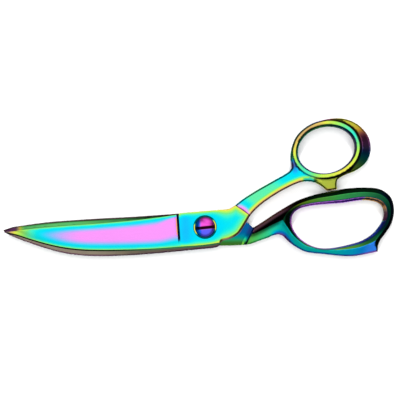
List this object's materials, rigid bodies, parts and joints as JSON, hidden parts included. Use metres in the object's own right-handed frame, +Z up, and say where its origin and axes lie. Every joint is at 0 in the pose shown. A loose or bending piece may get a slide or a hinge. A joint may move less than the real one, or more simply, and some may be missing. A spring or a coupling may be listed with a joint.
{
  "type": "tailor's shears",
  "caption": "All-metal bent-handle shears: two forged halves with thumb and finger bows, on a slotted pivot screw with a dished washer and a lock nut.",
  "frame": {"origin": "where the pivot axis meets the plane that the closed shears lie on, at the flush end of the pivot screw", "axes": "+X along the shears from the blade tips towards the bows, +Y across them towards the thumb bow, +Z up along the pivot axis towards the screw head"},
  "size_m": [0.2412, 0.0853, 0.0139],
  "materials": {
    "thumb_half_steel": "mirror polished steel with a rainbow coating, cyan at the pivot, pink in the blade's hollow, green and gold at the edges",
    "finger_half_steel": "mirror polished steel with a rainbow coating, green and blue with gold and violet edges",
    "screw_steel": "mirror polished steel with a rainbow coating, pink on top and blue below",
    "washer_steel": "polished steel with a dark teal coating",
    "nut_steel": "turned steel with a blue coating"
  },
  "bodies": {
    "finger_half": {"finger_half": "finger_half_steel"},
    "thumb_half": {"thumb_half": "thumb_half_steel"},
    "pivot_screw": {"pivot_screw": "screw_steel", "spring_washer": "washer_steel"},
    "lock_nut": {"lock_nut": "nut_steel"}
  },
  "joints": [
    {"name": "blade_pivot", "type": "hinge", "parent": "finger_half", "child": "thumb_half", "pos_m": [0, 0, 0.0058], "axis": [0, 0, 1], "range_deg": [0, 90]},
    {"name": "screw_turn", "type": "hinge", "parent": "finger_half", "child": "pivot_screw", "pos_m": [0, 0, 0.006], "axis": [0, 0, 1], "range_deg": [-90, 90]},
    {"name": "nut_turn", "type": "hinge", "parent": "finger_half", "child": "lock_nut", "pos_m": [0, 0, 0.001], "axis": [0, 0, 1], "range_deg": [-90, 90]}
  ]
}
